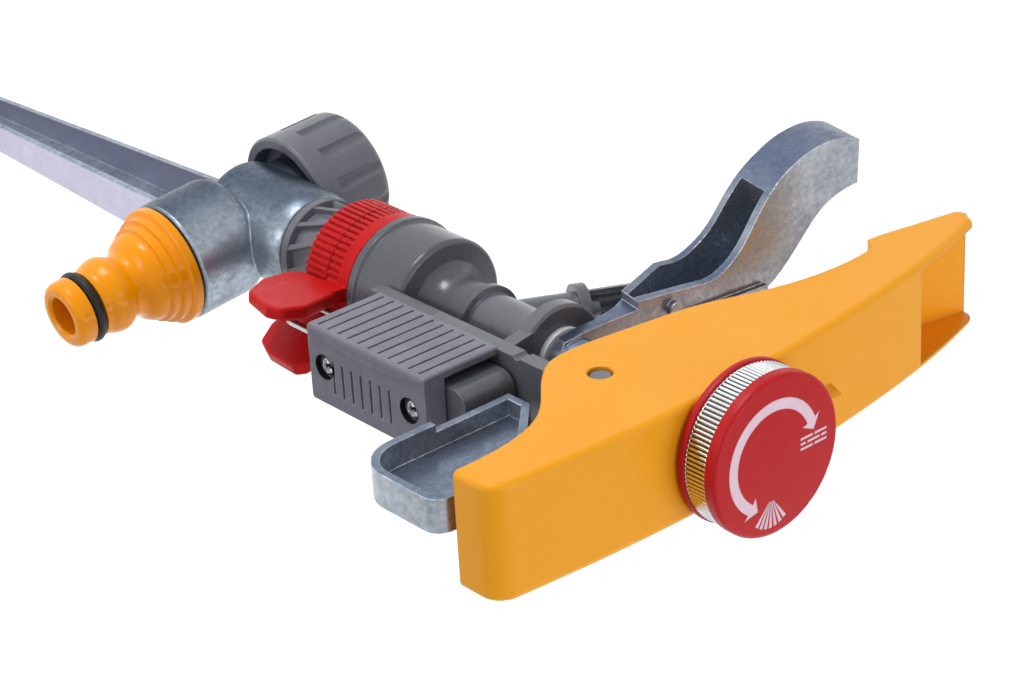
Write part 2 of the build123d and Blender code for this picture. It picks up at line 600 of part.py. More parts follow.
with BuildPart() as impact_arm:
    with BuildSketch(Plane.XY.offset(arm_top_z)):
        with BuildLine():
            Polyline((80.8, 12.2), (81.4, 21.9))
            Spline((81.4, 21.9), (74.0, 24.2), (67.0, 24.0), (60.5, 22.1), (56.0, 19.4), (51.5, 15.2),
                   (45.7, 8.6), (39.6, 5.2), (34.2, 5.1))
            Polyline((34.2, 5.1), (16.8, 7.6), (16.8, 5.8), (3.0, 6.2), (-3.0, 5.8), (-6.0, 0), (-3.0, -5.6),
                     (8.0, -5.8), (34.0, -5.4))
            Spline((34.0, -5.4), (45.0, -4.7), (52.5, -2.9), (58.8, 0.8), (64.8, 6.0), (70.9, 10.4),
                   (75.5, 11.8), (80.8, 12.2))
        make_face()
    extrude(amount=(arm_top_z - 150.2) * math.hypot(1, spoon_lean[0]), dir=spoon_lean)
    with BuildSketch(Plane.XZ.offset(-60.0)):
        with BuildLine():
            Polyline((-20.0, 140.0), (-20.0, 161.2), (8.0, 161.2), (14.0, 159.9), (34.2, 150.2),
                     (44.0, 150.2), (62.0, 152.7), (90.0, 152.7), (90.0, 140.0), close=True)
        make_face()
    extrude(amount=120.0, mode=Mode.SUBTRACT)
    add(arm_pocket.part, mode=Mode.SUBTRACT)
    add(spoon_tip.part, mode=Mode.SUBTRACT)
    with BuildSketch(Plane.XY.offset(arm_top_z)):
        with BuildLine():
            Polyline((20.0, 1.3), (52.2, -0.9), (52.2, -2.2), (20.0, -0.2), close=True)
        make_face()
        with Locations((26.0, 3.0)):
            Circle(1.5)
    extrude(amount=1.4)
    with BuildSketch(Plane.XY.offset(washer_top_z + air)):
        Circle(5.8)
    extrude(amount=hub_top_z - washer_top_z - air, taper=4)
    with BuildSketch(Plane.XY.offset(beam_base_z)):
        with BuildLine():
            Polyline((-2.0, 3.5), (-7.6, -5.6), (-11.6, -8.3), (-18.6, -8.3), (-22.0, -6.4), (-25.0, -1.0),
                     (-33.0, -1.0), (-29.0, -9.0), (-21.6, -14.0), (-9.4, -14.0), (-2.6, -9.6), (3.5, -2.0),
                     close=True)
        make_face()
    extrude(amount=beam_top_z - beam_base_z)
    with BuildSketch(Plane.XZ.offset(1.5)):
        with BuildLine():
            Polyline((-51.4, 168.9), (-22.0, 168.9), (-22.0, 175.0), (-25.0, 178.0), (-30.0, 183.0),
                     (-35.0, 188.0), (-40.0, 191.4), (-45.0, 193.0), (-57.0, 193.0))
            ThreePointArc((-57.0, 193.0), (-59.6, 191.6), (-60.4, 189.0))
            Line((-60.4, 189.0), (-60.4, 177.0))
            ThreePointArc((-60.4, 177.0), (-57.6, 171.4), (-51.4, 168.9))
        make_face()
    extrude(amount=-7.0)
    with BuildSketch(Plane.XZ.offset(-0.4)):
        with BuildLine():
            Polyline((-51.2, 170.5), (-23.6, 170.5), (-23.6, 174.2), (-26.2, 176.9), (-31.2, 181.8),
                     (-36.0, 186.6), (-40.5, 189.8), (-45.0, 191.4), (-57.0, 191.4), (-58.8, 189.0),
                     (-58.8, 177.4))
            ThreePointArc((-58.8, 177.4), (-56.4, 172.6), (-51.2, 170.5))
        make_face()
    extrude(amount=-6.0, mode=Mode.SUBTRACT)
    with BuildSketch(Plane.XZ.offset(-3.9)):
        with Locations((-30.4, 170.0)):
            Rectangle(22.0, 50.0)
    extrude(amount=-4.0, mode=Mode.SUBTRACT)
    with BuildSketch(Plane.XY.offset(hub_top_z)):
        Circle(4.3)
    extrude(amount=beam_top_z - hub_top_z, mode=Mode.SUBTRACT)
    with BuildSketch(Plane.XY.offset(150.0)):
        Circle(pin_r + running)
    extrude(amount=30.0, mode=Mode.SUBTRACT)

with BuildPart() as arm_washer:
    with BuildSketch(Plane.XY.offset(boss_top_z)):
        Circle(6.5)
        Circle(washer_hole_r, mode=Mode.SUBTRACT)
    extrude(amount=washer_top_z - boss_top_z)

with BuildPart() as arm_spring:
    with BuildLine() as arm_coil:
        Helix(pitch=1.5, height=6.0, radius=3.2, center=(0, 0, hub_top_z + 0.9))
    with BuildSketch(Plane(origin=arm_coil.line @ 0, z_dir=arm_coil.line % 0)):
        Circle(0.5)
    sweep(is_frenet=True)

with BuildPart() as fulcrum_pin:
    with BuildSketch(Plane.XY.offset(152.1)):
        Circle(pin_r - 0.02)
    extrude(amount=28.2)

# Hood: channel on the hood pin, its far web dipping into the jet as it tilts
with BuildPart() as hood_hollow:
    with BuildSketch(Plane.XZ.offset(-(hood_half - wall))):
        with BuildLine():
            Polyline((web_x, 198.3), (web_x, 160.0), (-56.3, 160.0), (-56.3, 200.8))
            ThreePointArc((-56.3, 200.8), (-55.0, 203.2), (-52.4, 204.3))
            Spline((-52.4, 204.3), (-42.7, 205.1), (-15.0, 206.2), (13.0, 204.9), (38.2, 201.9),
                   (web_x, 198.3))
        make_face()
    extrude(amount=2 * (hood_half - wall))
    with BuildSketch(Plane.XZ.offset(-(hood_half - wall))):
        with BuildLine():
            Polyline((web_x + wall, 187.4), (64.0, 186.4), (83.0, 190.2), (95.0, 194.0), (95.0, 215.0),
                     (web_x + wall, 215.0), close=True)
        make_face()
    extrude(amount=2 * (hood_half - wall))

with BuildPart() as hood:
    with BuildSketch(Plane.XZ.offset(-hood_half)):
        with BuildLine():
            Line((-57.9, 195.2), (-57.9, 201.3))
            ThreePointArc((-57.9, 201.3), (-56.2, 204.6), (-52.6, 205.9))
            Spline((-52.6, 205.9), (-42.7, 206.7), (-15.0, 207.8), (13.0, 206.5), (38.2, 203.5),
                   (59.6, 199.9), (77.6, 195.3))
            Line((77.6, 195.3), (82.0, 194.0))
            ThreePointArc((82.0, 194.0), (84.2, 191.6), (83.4, 188.4))
            Polyline((83.4, 188.4), (64.9, 184.7), (61.4, 184.4), (59.0, 187.6))
            Spline((59.0, 187.6), (46.1, 188.2), (31.0, 185.1), (18.1, 180.4), (4.2, 177.9), (-5.0, 176.6),
                   (-13.5, 176.0), (-18.4, 176.9), (-22.0, 179.2), (-25.9, 182.9), (-29.8, 187.2),
                   (-34.4, 191.1), (-43.2, 194.4), (-51.5, 195.3), (-57.9, 195.2))
        make_face()
    extrude(amount=2 * hood_half)
    add(hood_hollow.part, mode=Mode.SUBTRACT)
    with BuildSketch(Plane.XZ.offset(-hood_half)):
        with Locations((hood_pin_x, hood_pin_z)):
            Circle(hood_hole_r)
    extrude(amount=2 * hood_half, mode=Mode.SUBTRACT)
    with BuildSketch(Plane.XY.offset(203.0)):
        Circle(spindle_r + running)
    extrude(amount=10.0, mode=Mode.SUBTRACT)
    with BuildSketch(Plane.YZ.offset(17.5)):
        with BuildLine():
            Polyline((-3.4, 205.0), (-2.2, 207.6), (-1.8, 207.6), (-0.6, 205.0), (-0.6, 202.0),
                     (-3.4, 202.0), close=True)
        make_face()
    extrude(amount=11.0)

with BuildPart() as hood_pin:
    with BuildSketch(Plane.XZ.offset(-11.6)):
        with Locations((hood_pin_x, hood_pin_z)):
            Circle(hood_pin_r)
    extrude(amount=23.2)
    chamfer(hood_pin.edges().filter_by(GeomType.CIRCLE), 0.3)

# Knob: red base, bright grip ring and red face on a screw spindle
with BuildPart() as knob_base:
    with BuildSketch(Plane.XZ):
        with BuildLine():
            Polyline((spindle_r + fixed, knob_base_z), (16.3, knob_base_z), (16.8, knob_base_z + 0.5),
                     (16.8, knob_ring_z - 0.2), (16.6, knob_ring_z), (spindle_r + fixed, knob_ring_z),
                     close=True)
        make_face()
    revolve(axis=Axis.Z)

with BuildPart() as knob_ring:
    with BuildSketch(Plane.XY.offset(knob_ring_z)):
        Circle(16.0)
        Circle(13.6, mode=Mode.SUBTRACT)
    extrude(amount=knob_cap_z - knob_ring_z)
    chamfer(knob_ring.edges().filter_by(GeomType.CIRCLE), 0.2)

with BuildPart() as knob_cap:
    with BuildSketch(Plane.XZ):
        with BuildLine():
            Polyline((0, knob_ring_z), (13.5, knob_ring_z), (13.5, knob_cap_z), (16.2, knob_cap_z),
                     (16.4, knob_cap_z + 0.3), (16.4, knob_top_z - 1.0))
            ThreePointArc((16.4, knob_top_z - 1.0), (16.1, knob_top_z - 0.3), (15.4, knob_top_z))
            Polyline((15.4, knob_top_z), (0, knob_top_z), (0, knob_ring_z))
        make_face()
    revolve(axis=Axis.Z)

with BuildPart() as knob_spindle:
    with BuildSketch(Plane.XZ):
        with BuildLine():
            Polyline((0, 184.0), (1.9, 184.0), (spindle_r, 184.6), (spindle_r, 203.9), (4.4, 203.9),
                     (4.4, 204.7), (spindle_r, 204.7), (spindle_r, knob_ring_z), (0, knob_ring_z),
                     close=True)
        make_face()
    revolve(axis=Axis.Z)

with BuildPart() as spindle_nut:
    with BuildSketch(Plane.XZ.offset(-6.0)):
        with Locations((0, trunnion_z)):
            Circle(trunnion_r)
    extrude(amount=12.0)
    with BuildSketch(Plane.XY.offset(trunnion_z - 5.0)):
        Circle(spindle_r + 0.1)
    extrude(amount=10.0, mode=Mode.SUBTRACT)

os.makedirs("parts", exist_ok=True)
parts = {
    "spike_casting": spike_casting,
    "hose_nose": hose_nose,
    "nose_o_ring": nose_o_ring,
    "nose_washer": nose_washer,
    "end_cap": end_cap,
    "cap_washer": cap_washer,
    "bearing_nut": bearing_nut,
    "bearing_tube": bearing_tube,
    "bearing_washers": bearing_washers,
    "bearing_spring": bearing_spring,
    "lower_collar": lower_collar,
    "upper_collar": upper_collar,
    "head_body": head_body,
    "nozzle_tip": nozzle_tip,
    "trip_cover": trip_cover,
    "cover_screws": cover_screws,
    "trip_lever": trip_lever,
    "trip_wire": trip_wire,
    "trip_pin": trip_pin,
    "trip_spring": trip_spring,
    "impact_arm": impact_arm,
    "arm_washer": arm_washer,
    "arm_spring": arm_spring,
    "fulcrum_pin": fulcrum_pin,
    "hood": hood,
    "hood_pin": hood_pin,
    "knob_base": knob_base,
    "knob_ring": knob_ring,
    "knob_cap": knob_cap,
    "knob_spindle": knob_spindle,
    "spindle_nut": spindle_nut,
}
for label, built in parts.items():
    built.part.label = label
    export_step(built.part, f"parts/{label}.step")
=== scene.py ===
"""Looks, light and camera of an impact sprinkler on a ground spike."""

import json
import logging
import math
from collections.abc import Iterable, Sequence
from dataclasses import dataclass
from enum import Enum
from typing import ClassVar

import bmesh
import bpy
from mathutils import Matrix, Vector

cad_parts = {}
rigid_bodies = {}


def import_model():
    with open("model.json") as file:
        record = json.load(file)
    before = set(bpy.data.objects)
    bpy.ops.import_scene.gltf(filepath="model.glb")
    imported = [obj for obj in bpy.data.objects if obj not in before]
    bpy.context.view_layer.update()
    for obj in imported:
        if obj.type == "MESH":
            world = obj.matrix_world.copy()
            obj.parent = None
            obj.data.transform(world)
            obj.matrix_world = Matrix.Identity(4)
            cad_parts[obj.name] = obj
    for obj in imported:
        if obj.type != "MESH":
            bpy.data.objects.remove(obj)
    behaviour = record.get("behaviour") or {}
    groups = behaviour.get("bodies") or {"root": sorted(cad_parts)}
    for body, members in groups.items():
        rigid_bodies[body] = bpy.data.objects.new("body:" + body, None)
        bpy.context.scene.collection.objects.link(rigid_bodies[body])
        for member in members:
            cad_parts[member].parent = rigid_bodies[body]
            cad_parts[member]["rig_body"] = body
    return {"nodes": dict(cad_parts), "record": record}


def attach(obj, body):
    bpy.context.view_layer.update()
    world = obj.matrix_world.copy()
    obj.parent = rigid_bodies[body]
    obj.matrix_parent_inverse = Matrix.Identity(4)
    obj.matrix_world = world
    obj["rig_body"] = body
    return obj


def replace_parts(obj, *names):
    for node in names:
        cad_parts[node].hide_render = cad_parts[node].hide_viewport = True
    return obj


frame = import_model()

MM = 0.001
# Ways that the hose inlet looks, and that the zinc faces with a painted dark reflection look
INLET_WAY = (-0.9945, -0.1052, 0.0)
DARK_REFLECTION_WAY = (0.0, 1.0, 0.0)
# Heights in millimetres: under everything, three places where the look of a piece changes, over everything
BOTTOM, SPIKE_TOP, BARREL_TOP, TRAY_FOOT, TOP = -1000.0, 42.0, 139.0, 165.0, 1000.0
# Edges sharper than these, in degrees, stay crisp: on cast and moulded, turned and wound pieces
CREASE, TURNED_CREASE, WOUND_CREASE = 32.0, 40.0, 60.0
# Two numbers: a point on a plane, in millimetres, or both ends of a range
Pair = tuple[float, float]
log = logging.getLogger("sprinkler")


class Lean(Enum):
    """How far a finish reflects as bare metal does."""

    METAL = 1.0
    SKINNED_METAL = 0.78
    PLASTIC = 0.0


class Grain(Enum):
    """The surface that a tool or a casting leaves, as its usual pitch in millimetres."""

    CAST = 0.55
    SPARK = 0.35
    POLISHED = 0.0


def linear(code: str) -> tuple[float, float, float, float]:
    """Turn a colour from sRGB hex to linear.

    Args:
        code: six hex digits, with a leading hash.

    Returns:
        Red, green, blue and an alpha of 1.
    """
    parts = [int(code[i:i + 2], 16) / 255 for i in (1, 3, 5)]
    red, green, blue = (p / 12.92 if p <= 0.04045 else ((p + 0.055) / 1.055) ** 2.4 for p in parts)
    return red, green, blue, 1.0


def add_node(tree: bpy.types.NodeTree, kind: str, feeds: dict | None = None,
             **settings: object) -> bpy.types.Node:
    """Add a node with its settings, values and links.

    Args:
        tree: the node tree that gets it.
        kind: the node's type name.
        feeds: for each input, by name or number, a value or the socket that feeds it.
        settings: the node's own settings.

    Returns:
        The new node.
    """
    node = tree.nodes.new(kind)
    for name, value in settings.items():
        setattr(node, name, value)
    for name, value in (feeds or {}).items():
        if isinstance(value, bpy.types.NodeSocket):
            tree.links.new(value, node.inputs[name])
        else:
            node.inputs[name].default_value = value
    return node


def per_metre(millimetres: float) -> float:
    """Give a noise texture's scale for features of that size."""
    return 1000.0 / millimetres


@dataclass(frozen=True)
class PaintedLight:
    """Painted light or shade: another colour on the faces that look the same way, between two heights in
    millimetres.

    It starts and is full at those cosines between the way and the face's normal.
    """

    colour: str
    way: tuple[float, float, float]
    blend: str = "MULTIPLY"
    strength: float = 1.0
    heights: Pair = (BOTTOM, TOP)
    start: float = 0.35
    full: float = 0.95

    def over(self, tree: bpy.types.NodeTree, where: bpy.types.Node,
             tint: bpy.types.NodeSocket) -> bpy.types.NodeSocket:
        """Lay the painted light or shade over a colour.

        Args:
            tree: the material's node tree.
            where: the texture coordinates.
            tint: the colour without the painted light or shade.

        Returns:
            The colour with the painted light or shade on it.
        """
        facing = add_node(tree, "ShaderNodeVectorMath", {0: where.outputs["Normal"], 1: self.way},
                          operation="DOT_PRODUCT")
        share = add_node(tree, "ShaderNodeMapRange",
                         {"Value": facing.outputs["Value"], "From Min": self.start, "From Max": self.full,
                          "To Max": self.strength}, interpolation_type="SMOOTHSTEP").outputs["Result"]
        height = add_node(tree, "ShaderNodeSeparateXYZ", {"Vector": where.outputs["Object"]}).outputs["Z"]
        low, high = self.heights
        middle, reach = (low + high) / 2, (high - low) / 2
        inside = add_node(tree, "ShaderNodeMath", {0: height, 1: middle * MM, 2: reach * MM},
                          operation="COMPARE").outputs[0]
        part = add_node(tree, "ShaderNodeMath", {0: share, 1: inside}, operation="MULTIPLY").outputs[0]
        return add_node(tree, "ShaderNodeMix", {"Factor": part, 6: tint, 7: linear(self.colour)},
                        data_type="RGBA", blend_type=self.blend).outputs[2]


@dataclass(frozen=True)
class Finish:
    """One material: its colours, sheen and the marks that its making left.

    The shade mottles the colour, and the worn colour is that of rubbed edges, which also paints highlights
    along them.
    The sizes blotch, depth, edge and mottle are in millimetres.
    """

    METAL_SPECULAR: ClassVar[float] = 0.5
    # Cosines between the rounded normal and the flat one, where rubbing and its painted highlight start and
    # where they are full
    BEND: ClassVar[Pair] = (0.995, 0.9)
    # Values of the clouds where rubbing and its painted highlight are least and full, and their least share
    PATCHES: ClassVar[Pair] = (0.4, 0.6)
    LEAST_RUB_AND_HIGHLIGHT: ClassVar[float] = 0.3
    # Values of the clouds where the sheen is dullest and brightest
    SHEEN: ClassVar[Pair] = (0.35, 0.65)
    PIT_STRENGTH: ClassVar[float] = 0.6

    name: str
    colour: str
    shade: str
    worn_and_highlit: str
    lean: Lean
    roughness: float
    blotch: float
    grain: Grain
    depth: float
    contrast: float = 0.4
    spread: float = 0.08
    edge: float = 0.3
    wear_and_highlight: float = 0.5
    mottle: float = 1.3
    gloss: float = 0.3
    painted_lights: tuple[PaintedLight, ...] = ()

    def tone(self, tree: bpy.types.NodeTree, place: bpy.types.NodeSocket) -> bpy.types.NodeSocket:
        """Mix broad clouds and fine mottling into one value.

        Args:
            tree: the material's node tree.
            place: the coordinates of the point, in metres.

        Returns:
            The value, around 0.5.
        """
        clouds = add_node(tree, "ShaderNodeTexNoise", {
            "Vector": place, "Scale": per_metre(self.blotch), "Detail": 4.0, "Roughness": 0.6})
        flecks = add_node(tree, "ShaderNodeTexNoise", {
            "Vector": place, "Scale": per_metre(self.mottle), "Detail": 3.0, "Roughness": 0.65})
        return add_node(tree, "ShaderNodeMix", {
            "Factor": 0.5, 2: clouds.outputs["Fac"], 3: flecks.outputs["Fac"]}, data_type="FLOAT").outputs[0]

    def specular(self) -> float:
        """Give the shader's specular level: the usual one for a metal."""
        return self.gloss if self.lean is Lean.PLASTIC else self.METAL_SPECULAR

    def rubbed_and_highlit(self, tree: bpy.types.NodeTree, value: bpy.types.NodeSocket, rounded: bpy.types.NodeSocket,
               tint: bpy.types.NodeSocket) -> bpy.types.NodeSocket:
        """Rub the edges bare in patches, and paint highlights along them.

        Args:
            tree: the material's node tree.
            value: the clouds' value, which makes the patches.
            rounded: the normal with the edges rounded.
            tint: the colour without the worn edges and their painted highlights.

        Returns:
            The colour with its edges rubbed, and painted highlights along them.
        """
        flat = add_node(tree, "ShaderNodeNewGeometry").outputs["Normal"]
        bend = add_node(tree, "ShaderNodeVectorMath", {0: rounded, 1: flat}, operation="DOT_PRODUCT")
        start, full = self.BEND
        rub_and_highlight = add_node(tree, "ShaderNodeMapRange", {
            "Value": bend.outputs["Value"], "From Min": start, "From Max": full, "To Max": self.wear_and_highlight})
        low, high = self.PATCHES
        patchy = add_node(tree, "ShaderNodeMapRange", {
            "Value": value, "From Min": low, "From Max": high, "To Min": self.LEAST_RUB_AND_HIGHLIGHT})
        worn_and_highlit = add_node(tree, "ShaderNodeMath", {0: rub_and_highlight.outputs["Result"], 1: patchy.outputs["Result"]},
                        operation="MULTIPLY").outputs[0]
        return add_node(tree, "ShaderNodeMix", {"Factor": worn_and_highlit, 6: tint, 7: linear(self.worn_and_highlit)},
                        data_type="RGBA").outputs[2]

    def pitted(self, tree: bpy.types.NodeTree, place: bpy.types.NodeSocket,
               normal: bpy.types.NodeSocket) -> bpy.types.NodeSocket:
        """Cut the grain of the tool or casting into the surface.

        Args:
            tree: the material's node tree.
            place: the coordinates of the point, in metres.
            normal: the normal without the grain.

        Returns:
            The normal with the grain, or the same one on a polished surface.
        """
        if self.grain is Grain.POLISHED:
            return normal
        pits = add_node(tree, "ShaderNodeTexNoise", {
            "Vector": place, "Scale": per_metre(self.grain.value), "Detail": 2.0}).outputs["Fac"]
        return add_node(tree, "ShaderNodeBump", {
            "Height": pits, "Distance": self.depth * MM, "Strength": self.PIT_STRENGTH,
            "Normal": normal}).outputs["Normal"]

    def build(self) -> bpy.types.Material:
        """Make the material.

        Returns:
            The material, with its noise in Object coordinates.
        """
        material = bpy.data.materials.new(self.name)
        material.use_nodes = True
        tree = material.node_tree
        tree.nodes.clear()
        where = add_node(tree, "ShaderNodeTexCoord")
        place = where.outputs["Object"]
        value = self.tone(tree, place)
        tone = add_node(tree, "ShaderNodeMapRange", {
            "Value": value, "From Min": 0.5 - self.contrast / 2, "From Max": 0.5 + self.contrast / 2})
        tint = add_node(tree, "ShaderNodeMix", {
            "Factor": tone.outputs["Result"], 6: linear(self.shade), 7: linear(self.colour)},
            data_type="RGBA").outputs[2]
        # Painted light and shade, laid on by the way each face looks
        for painted in self.painted_lights:
            tint = painted.over(tree, where, tint)
        rounded = add_node(tree, "ShaderNodeBevel", {"Radius": self.edge * MM}, samples=4).outputs["Normal"]
        # Edges rubbed bare in patches, with painted highlights along them
        tint = self.rubbed_and_highlit(tree, value, rounded, tint)
        dull, bright = self.SHEEN
        sheen = add_node(tree, "ShaderNodeMapRange", {
            "Value": value, "From Min": dull, "From Max": bright,
            "To Min": self.roughness + self.spread, "To Max": self.roughness - self.spread})
        shader = add_node(tree, "ShaderNodeBsdfPrincipled", {
            "Base Color": tint, "Roughness": sheen.outputs["Result"], "Metallic": self.lean.value,
            "Specular IOR Level": self.specular(), "Normal": self.pitted(tree, place, rounded)})
        add_node(tree, "ShaderNodeOutputMaterial", {"Surface": shader.outputs["BSDF"]})
        return material


class Finishes:
    """Every material of the sprinkler, each made once."""

    # Die-cast zinc left bare: cool grey, mottled by its cooling, with a painted dark reflection on its faces
    # towards +Y, deep on the beam and spoon and faint on the tray, and bright edges, partly rubbed and partly
    # painted highlights
    zinc = Finish(
        "die_cast_zinc", "#B9BEC6", "#858E9B", "#F2F5F8", Lean.SKINNED_METAL, 0.3, 7.0, Grain.CAST, 0.02,
        0.3, 0.1, edge=0.35, wear_and_highlight=0.9,
        painted_lights=(PaintedLight("#8592AE", DARK_REFLECTION_WAY, heights=(BOTTOM, TRAY_FOOT)),
               PaintedLight("#A6B4C6", DARK_REFLECTION_WAY, heights=(TRAY_FOOT, TOP))))
    # The same alloy on the long spike, dulled by its mould wash, with a painted lilac reflection towards its
    # foot and a painted shadow of the hood on the riser
    spike_zinc = Finish(
        "die_cast_zinc_spike", "#A3ADB9", "#6D7885", "#CBD3DB", Lean.SKINNED_METAL, 0.36, 8.0, Grain.CAST,
        0.02, 0.3, 0.1, edge=0.6, wear_and_highlight=0.7,
        painted_lights=(PaintedLight("#C9C4DC", INLET_WAY, "MIX", 0.8, (BOTTOM, SPIKE_TOP)),
               PaintedLight("#7D8A9C", (0.0, 0.94, -0.34), heights=(SPIKE_TOP, TOP))))
    # ABS hood, moulded from a satin tool: warm yellow, barely mottled, with soft rounded edges
    yellow = Finish(
        "moulded_abs_yellow", "#F6A616", "#F1A010", "#F9B83C", Lean.PLASTIC, 0.36, 18.0, Grain.SPARK, 0.004,
        0.6, edge=0.9, wear_and_highlight=0.3, gloss=0.25)
    # Acetal hose nose, smoother and a deeper orange than the hood
    orange = Finish(
        "moulded_acetal_orange", "#FBA000", "#F59300", "#FFBE3A", Lean.PLASTIC, 0.2, 9.0, Grain.SPARK, 0.002,
        0.6, 0.04, wear_and_highlight=0.3, gloss=0.22)
    # Bright red acetal of the set collars, with a broad soft sheen
    red = Finish(
        "moulded_acetal_red", "#C91418", "#BA0F13", "#E2383A", Lean.PLASTIC, 0.36, 12.0, Grain.SPARK, 0.003,
        0.6, edge=0.6, wear_and_highlight=0.4, gloss=0.12)
    # The knob's deeper red, a little glossier than the collars
    knob_red = Finish(
        "moulded_abs_red", "#BD171D", "#B31318", "#D03A40", Lean.PLASTIC, 0.38, 12.0, Grain.SPARK, 0.003,
        0.6, edge=0.5, wear_and_highlight=0.4, gloss=0.2)
    # Glass-filled nylon of the head: mid grey with a fine spark-eroded skin, polished by handling,
    # and with painted shade on the barrel's faces towards +Y
    grey = Finish(
        "glass_filled_nylon", "#62656C", "#565960", "#8E929B", Lean.PLASTIC, 0.25, 8.0, Grain.SPARK, 0.004,
        edge=0.4, gloss=0.5,
        painted_lights=(PaintedLight("#D2D3D8", (-0.3, 0.95, 0.0), heights=(BOTTOM, BARREL_TOP), start=0.2),))
    # The trip housing from a coarser tool: paler, slightly violet and more matt, with painted shade on its
    # front, which faces -X
    box_grey = Finish(
        "glass_filled_nylon_matt", "#7F7E8B", "#706F7C", "#B4B3BE", Lean.PLASTIC, 0.42, 6.0, Grain.SPARK,
        0.012, edge=0.4, wear_and_highlight=0.8, painted_lights=(PaintedLight("#D8D8DC", (-1.0, 0.0, 0.0)),))
    # Painted shade deep in the screw seats, which hardly any light reaches: a near-black, matt colour
    seat_shade_black = Finish(
        "painted_seat_shade_black", "#1B1A1E", "#141317", "#26252A", Lean.PLASTIC, 0.8, 1.5, Grain.CAST, 0.01,
        gloss=0.1)
    # Nylon of the bearing nut and the end cap: a cool mid grey, a little glossy
    dark = Finish(
        "moulded_nylon_dark", "#6C6E78", "#5F616A", "#94969F", Lean.PLASTIC, 0.3, 8.0, Grain.SPARK, 0.004,
        edge=0.4, gloss=0.4)
    # Cut acetal thrust washers: near white, with a faint cool tone
    pale = Finish(
        "cut_acetal_pale", "#F4F7FA", "#E6EBF0", "#FFFFFF", Lean.PLASTIC, 0.35, 5.0, Grain.SPARK, 0.004)
    # Nitrile rubber rings, black and almost matt
    rubber = Finish(
        "moulded_nitrile_rubber", "#141416", "#0E0E10", "#1C1C1F", Lean.PLASTIC, 0.45, 4.0, Grain.SPARK, 0.01)
    # Drawn stainless wire and turned pins: bright, with faint streaks
    steel = Finish(
        "drawn_stainless_steel", "#C9CBCE", "#A4A8AD", "#E0E2E4", Lean.METAL, 0.24, 2.0, Grain.POLISHED, 0.0)
    # Nickel-chrome plate on the grip ring: a near mirror
    chrome = Finish(
        "nickel_chrome_plate", "#DADCDF", "#CFD2D6", "#F0F2F4", Lean.METAL, 0.1, 3.0, Grain.POLISHED, 0.0,
        0.4, 0.04, edge=0.06)
    # The same plate darkened in the ring's valleys: painted shade between the teeth
    valley_shade_chrome = Finish(
        "nickel_chrome_painted_shade", "#4A4744", "#33302E", "#5A5754", Lean.METAL, 0.45, 3.0, Grain.POLISHED, 0.0)
    # Zinc-plated screws: bright, with a cold tint
    screw_zinc = Finish(
        "zinc_plated_screw", "#C6C8CE", "#A0A2AA", "#DCDEE3", Lean.METAL, 0.3, 2.0, Grain.POLISHED, 0.0)
    # Turned brass of the swivelling nut: a warm, brushed yellow
    brass = Finish(
        "turned_brass", "#C8A557", "#B08F47", "#D9BB75", Lean.METAL, 0.25, 2.5, Grain.POLISHED, 0.0)
    # Pad-printed ink, pale pink where the red shows through
    ink = Finish(
        "pad_printed_ink", "#EBCFDC", "#E2C0D0", "#EBCFDC", Lean.PLASTIC, 0.5, 3.0, Grain.POLISHED, 0.0)

    def __init__(self) -> None:
        """Start with no material made."""
        self.made: dict[str, bpy.types.Material] = {}

    def get(self, finish: Finish) -> bpy.types.Material:
        """Give a finish's material, and make it on first use.

        Args:
            finish: the finish.

        Returns:
            Its material.
        """
        if finish.name not in self.made:
            self.made[finish.name] = finish.build()
        return self.made[finish.name]


def body_of_node(node: str) -> str:
    """Give the body that a node of the frame rides on."""
    return frame["nodes"][node]["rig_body"]


def slot_of_node(node: str) -> str:
    """Give the material slot that the record states for a node."""
    return next(s["material_slot"] for s in frame["record"]["subparts"] if s["node"] == node)


@dataclass
class Piece:
    """Base of every piece: it makes, shades, rides and dresses a mesh."""

    finishes: Finishes

    def place(self, name: str, mesh: bmesh.types.BMesh, finish: Finish, body: str, slot: str,
              crease: float = CREASE) -> bpy.types.Object:
        """Turn a bmesh into an object of the sprinkler.

        Args:
            name: the new object's name.
            mesh: the shape in metres, freed here.
            finish: what it is made of.
            body: the body that it rides on.
            slot: the record's material slot; not used.
            crease: edges sharper than this, in degrees, stay crisp.

        Returns:
            The new object.
        """
        for face in mesh.faces:
            face.smooth = True
        for edge in mesh.edges:
            joined = len(edge.link_faces) == 2 and not edge.seam
            edge.smooth = joined and edge.calc_face_angle(0.0) < math.radians(crease)
        data = bpy.data.meshes.new(name)
        mesh.to_mesh(data)
        mesh.free()
        data.materials.append(self.finishes.get(finish))
        made = bpy.data.objects.new(name, data)
        bpy.context.scene.collection.objects.link(made)
        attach(made, body)
        log.info("%s: %d faces on %s", name, len(data.polygons), body)
        return made

    def dress(self, node: str, finish: Finish, crease: float = CREASE) -> bpy.types.Object:
        """Stand a smooth-shaded copy in for a node of the frame.

        Args:
            node: the node's name.
            finish: what it is made of.
            crease: edges sharper than this, in degrees, stay crisp.

        Returns:
            The copy.
        """
        return self.stand_in(node, self.copy(node), finish, crease)

    def copy(self, node: str) -> bmesh.types.BMesh:
        """Copy a node's mesh and join its loose faces.

        Args:
            node: the node's name.

        Returns:
            The copy in metres.
        """
        mesh = bmesh.new()
        mesh.from_mesh(frame["nodes"][node].data)
        bmesh.ops.remove_doubles(mesh, verts=mesh.verts, dist=0.002 * MM)
        return mesh

    def stand_in(self, node: str, mesh: bmesh.types.BMesh, finish: Finish,
                 crease: float = CREASE) -> bpy.types.Object:
        """Place a mesh instead of a node of the frame.

        Args:
            node: the node's name.
            mesh: the shape in metres, freed here.
            finish: what it is made of.
            crease: edges sharper than this, in degrees, stay crisp.

        Returns:
            The new object.
        """
        made = self.place(node + "_skin", mesh, finish, body_of_node(node), slot_of_node(node), crease)
        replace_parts(made, node)
        return made


